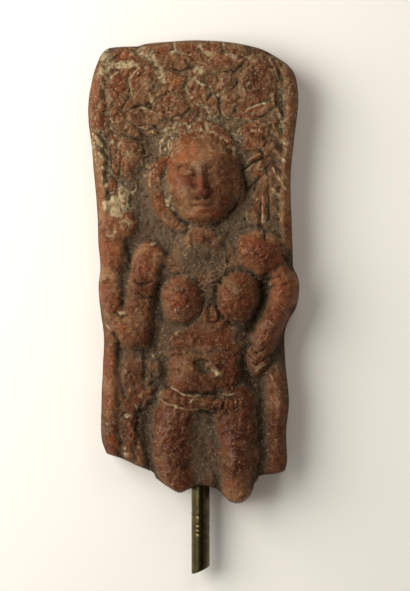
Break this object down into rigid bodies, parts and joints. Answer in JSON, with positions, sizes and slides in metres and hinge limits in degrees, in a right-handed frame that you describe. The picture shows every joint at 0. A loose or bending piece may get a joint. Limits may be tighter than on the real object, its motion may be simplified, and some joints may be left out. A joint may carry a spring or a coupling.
{
  "type": "terracotta relief plaque",
  "caption": "Moulded terracotta relief plaque of a woman standing under a flowering tree, broken off at the knees, with a metal mounting rod in its foot.",
  "frame": {"origin": "middle of the underside's bounding box, on the surface that the plaque's flat back lies on", "axes": "+Z out of the relief, +Y along the plaque towards the crown, +X to the right as the relief is seen"},
  "size_m": [0.057, 0.145, 0.0198],
  "materials": {
    "terracotta": "satin",
    "rod_brass": "satin"
  },
  "bodies": {
    "root": {"plaque": "terracotta", "mounting_rod": "rod_brass"}
  },
  "joints": []
}
